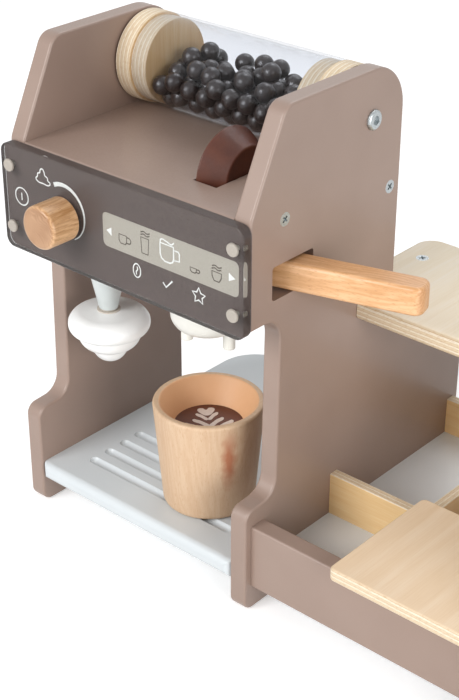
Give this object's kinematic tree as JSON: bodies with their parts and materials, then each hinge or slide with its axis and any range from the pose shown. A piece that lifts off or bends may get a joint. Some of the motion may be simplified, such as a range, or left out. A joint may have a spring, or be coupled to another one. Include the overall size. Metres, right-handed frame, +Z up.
{
  "type": "toy coffee maker",
  "caption": "Wooden toy coffee maker at the end of a play counter: clear bean hopper, selector knob, swinging portafilter, cream nozzle and cup.",
  "frame": {"origin": "bottom centre of the overall bounding box, on the plane that the panels stand on", "axes": "+X to the right seen from the front, +Y towards the rear, +Z up"},
  "size_m": [0.3594, 0.2422, 0.309],
  "materials": {
    "taupe_paint": "satin taupe paint on plywood",
    "grey_paint": "satin pale grey paint on plywood",
    "plywood": "clear-lacquered birch plywood",
    "beech": "clear-lacquered beech",
    "cream_paint": "satin cream-white paint on turned wood",
    "white_paint": "satin white paint on turned wood",
    "pale_grey_paint": "satin pale grey paint on turned wood",
    "brown_stain": "satin dark brown stain on turned wood",
    "bean_paint": "satin dark brown paint on wooden beads",
    "cup_wood": "clear-lacquered turned wood",
    "coffee_print": "printed wooden disc",
    "print_film": "matte printed film",
    "hook_and_loop": "woven hook-and-loop tape",
    "steel": "zinc-plated steel",
    "screw_cap": "glossy off-white plastic",
    "nylon": "matte nylon",
    "clear_acrylic": "clear, glossy, polished edges"
  },
  "bodies": {
    "frame": {"left_side_panel": "taupe_paint", "right_side_panel": "taupe_paint", "drip_tray_board": "grey_paint", "top_board": "taupe_paint", "rear_rail": "taupe_paint", "inner_shelf": "taupe_paint", "body_dowels": "beech", "side_screws": "steel", "control_panel": "clear_acrylic", "control_panel_print": "print_film", "control_panel_screws": "screw_cap", "wheel_pin": "steel", "cream_nozzle": "pale_grey_paint", "nozzle_pad": "hook_and_loop", "counter_front_rail": "taupe_paint", "counter_floor": "grey_paint", "counter_front_divider": "plywood", "counter_rear_divider": "plywood", "counter_cross_divider": "plywood", "counter_top": "plywood", "counter_end_panel": "taupe_paint", "counter_dowels": "beech", "counter_screws": "steel"},
    "knob": {"selector_knob": "beech", "knob_bolt": "steel", "knob_washer": "nylon"},
    "hopper": {"hopper_tube": "clear_acrylic", "hopper_flanges": "plywood", "hopper_plugs": "plywood", "hopper_bolts": "steel", "coffee_beans": "bean_paint"},
    "wheel": {"grinder_wheel": "brown_stain"},
    "portafilter": {"portafilter_bowl": "cream_paint", "portafilter_spouts": "cream_paint", "portafilter_spindle": "beech", "portafilter_handle": "beech", "thrust_washer": "nylon"},
    "cream": {"cream_swirl": "white_paint", "cream_pad": "hook_and_loop"},
    "cup": {"cup": "cup_wood", "coffee_disc": "coffee_print"},
    "plate": {"serving_plate": "plywood"}
  },
  "joints": [
    {"name": "knob_turn", "type": "hinge", "parent": "frame", "child": "knob", "pos_m": [-0.12607, -0.1001, 0.2179], "axis": [0, -1, 0], "continuous": true},
    {"name": "hopper_turn", "type": "hinge", "parent": "frame", "child": "hopper", "pos_m": [-0.08438, 0.0101, 0.2801], "axis": [1, 0, 0], "continuous": true},
    {"name": "wheel_turn", "type": "hinge", "parent": "frame", "child": "wheel", "pos_m": [-0.04578, -0.0407, 0.2482], "axis": [1, 0, 0], "continuous": true},
    {"name": "portafilter_swing", "type": "hinge", "parent": "frame", "child": "portafilter", "pos_m": [-0.04417, -0.0682, 0.2014], "axis": [0, 0, 1], "range_deg": [-12.8, 3]},
    {"name": "cream_pull", "type": "slide", "parent": "frame", "child": "cream", "axis": [0, 0, -1], "range_m": [0, 0.074]},
    {"name": "cup_slide", "type": "slide", "parent": "frame", "child": "cup", "axis": [0, -1, 0], "range_m": [0, 0.12]},
    {"name": "plate_lift", "type": "slide", "parent": "frame", "child": "plate", "axis": [0, 0, 1], "range_m": [0, 0.08]}
  ]
}
